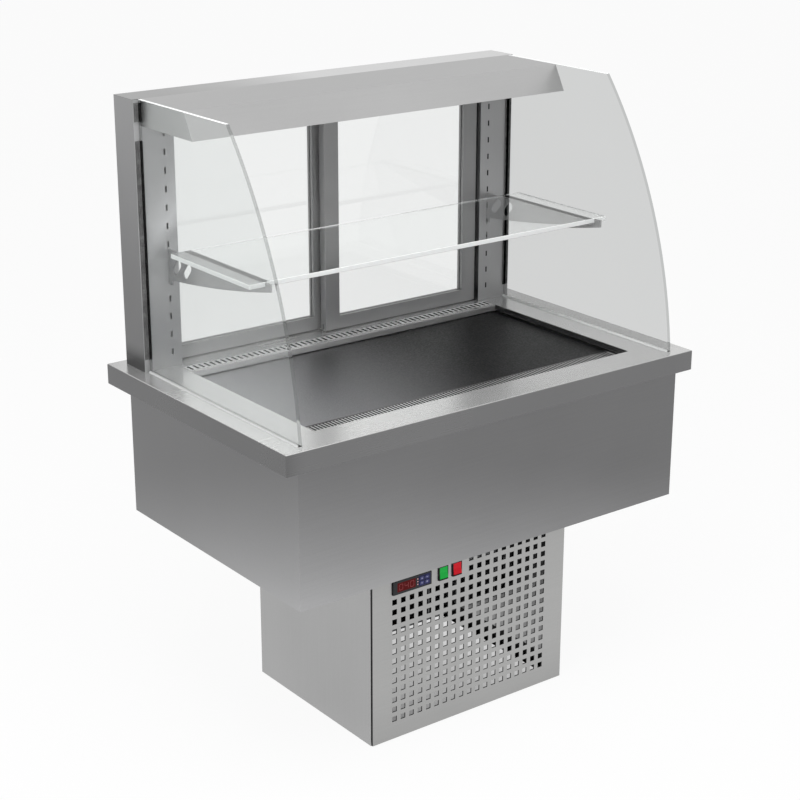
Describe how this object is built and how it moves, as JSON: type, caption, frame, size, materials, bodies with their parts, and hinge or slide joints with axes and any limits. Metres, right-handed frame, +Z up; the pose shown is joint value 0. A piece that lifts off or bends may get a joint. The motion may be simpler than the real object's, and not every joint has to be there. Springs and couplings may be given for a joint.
{
  "type": "refrigerated drop-in display case",
  "caption": "Stainless drop-in refrigerated display with curved side glass, glass shelf, rear sliding doors and a perforated condensing-unit box with controls",
  "frame": {"origin": "Middle of the footprint of the worktop, on the plane of the base rim that the case stands on.", "axes": "+Z up; +X to the right for a customer who faces the perforated front; +Y from the customer's side to the staff side with the sliding doors."},
  "size_m": [1.1, 0.705, 1.367],
  "materials": {
    "stainless": "brushed stainless sheet, fine straight grain",
    "deck_steel": "brushed stainless sheet, coarse grain",
    "inner_steel": "plain galvanised or stainless sheet",
    "foam": "rigid polyurethane foam",
    "clear_glass": "clear toughened glass with ground edges",
    "black_rubber": "matt black rubber",
    "lamp_cover": "opal lamp cover",
    "track_aluminium": "extruded, anodised",
    "coil_aluminium": "thin bright fins",
    "nylon": "white nylon",
    "black_plastic": "black moulded plastic",
    "red_window": "tinted window over a red display",
    "blue_key": "blue key caps",
    "green_plastic": "translucent green rocker",
    "red_plastic": "translucent red rocker",
    "black_paint": "semi-gloss black paint",
    "copper": "drawn copper tube"
  },
  "bodies": {
    "cabinet": {"worktop": "stainless", "casing_front": "stainless", "casing_rear": "stainless", "casing_left": "stainless", "casing_right": "stainless", "front_air_grille": "stainless", "rear_air_grille": "stainless", "post_left": "stainless", "post_right": "stainless", "header": "stainless", "canopy": "stainless", "shelf_bracket_left": "stainless", "shelf_bracket_right": "stainless", "box_left_panel": "stainless", "box_right_panel": "stainless", "box_rear_panel": "stainless", "perforated_front_panel": "stainless", "liner": "inner_steel", "casing_base": "inner_steel", "control_bracket": "inner_steel", "unit_tray": "inner_steel", "evaporator_fan_plate": "inner_steel", "fan_shroud": "inner_steel", "insulation": "foam", "side_glass_left": "clear_glass", "side_glass_right": "clear_glass", "glass_seals": "black_rubber", "compressor_mounts": "black_rubber", "lamp_bar": "lamp_cover", "top_track": "track_aluminium", "condenser_coil": "coil_aluminium", "evaporator_coil": "coil_aluminium", "door_guide": "nylon", "drain_pipe": "nylon", "controller": "black_plastic", "switch_housings": "black_plastic", "cable_gland": "black_plastic", "controller_window": "red_window", "compressor": "black_paint", "condenser_fan_motor": "black_paint", "evaporator_fan_motors": "black_paint", "refrigerant_pipes": "copper"},
    "left_door": {"door_left_frame": "stainless", "door_left_pane": "clear_glass", "door_left_runners": "nylon"},
    "right_door": {"door_right_frame": "stainless", "door_right_pane": "clear_glass", "door_right_runners": "nylon", "door_right_bumper": "black_rubber"},
    "deck": {"deck_plate": "deck_steel"},
    "shelf": {"shelf_glass": "clear_glass"},
    "green_switch": {"green_rocker": "green_plastic"},
    "red_switch": {"red_rocker": "red_plastic"},
    "upper_left_key": {"key_upper_left": "blue_key"},
    "upper_right_key": {"key_upper_right": "blue_key"},
    "lower_left_key": {"key_lower_left": "blue_key"},
    "lower_right_key": {"key_lower_right": "blue_key"},
    "condenser_fan": {"condenser_fan_blade": "black_plastic"},
    "left_evaporator_fan": {"evaporator_fan_left": "black_plastic"},
    "right_evaporator_fan": {"evaporator_fan_right": "black_plastic"}
  },
  "joints": [
    {"name": "left_door_slide", "type": "slide", "parent": "cabinet", "child": "left_door", "axis": [1, 0, 0], "range_m": [0, 0.42]},
    {"name": "right_door_slide", "type": "slide", "parent": "cabinet", "child": "right_door", "axis": [-1, 0, 0], "range_m": [0, 0.385]},
    {"name": "deck_lift", "type": "slide", "parent": "cabinet", "child": "deck", "axis": [0, 0, 1], "range_m": [0, 0.12]},
    {"name": "shelf_lift", "type": "slide", "parent": "cabinet", "child": "shelf", "axis": [0, 0, 1], "range_m": [0, 0.06]},
    {"name": "green_switch_tilt", "type": "hinge", "parent": "cabinet", "child": "green_switch", "pos_m": [-0.08175, -0.243, 0.364], "axis": [1, 0, 0], "range_deg": [0, 14]},
    {"name": "red_switch_tilt", "type": "hinge", "parent": "cabinet", "child": "red_switch", "pos_m": [-0.04365, -0.243, 0.364], "axis": [1, 0, 0], "range_deg": [0, 14]},
    {"name": "upper_left_key_press", "type": "slide", "parent": "cabinet", "child": "upper_left_key", "axis": [0, 1, 0], "range_m": [0, 0.0005], "stiffness_N_per_m": 400},
    {"name": "upper_right_key_press", "type": "slide", "parent": "cabinet", "child": "upper_right_key", "axis": [0, 1, 0], "range_m": [0, 0.0005], "stiffness_N_per_m": 400},
    {"name": "lower_left_key_press", "type": "slide", "parent": "cabinet", "child": "lower_left_key", "axis": [0, 1, 0], "range_m": [0, 0.0005], "stiffness_N_per_m": 400},
    {"name": "lower_right_key_press", "type": "slide", "parent": "cabinet", "child": "lower_right_key", "axis": [0, 1, 0], "range_m": [0, 0.0005], "stiffness_N_per_m": 400},
    {"name": "condenser_fan_spin", "type": "hinge", "parent": "cabinet", "child": "condenser_fan", "pos_m": [0.11275, 0.029, 0.27825], "axis": [0, 1, 0], "continuous": true},
    {"name": "left_evaporator_fan_spin", "type": "hinge", "parent": "cabinet", "child": "left_evaporator_fan", "pos_m": [-0.17, 0.0805, 0.602], "axis": [0, 1, 0], "continuous": true},
    {"name": "right_evaporator_fan_spin", "type": "hinge", "parent": "cabinet", "child": "right_evaporator_fan", "pos_m": [0.17, 0.0805, 0.602], "axis": [0, 1, 0], "continuous": true}
  ]
}
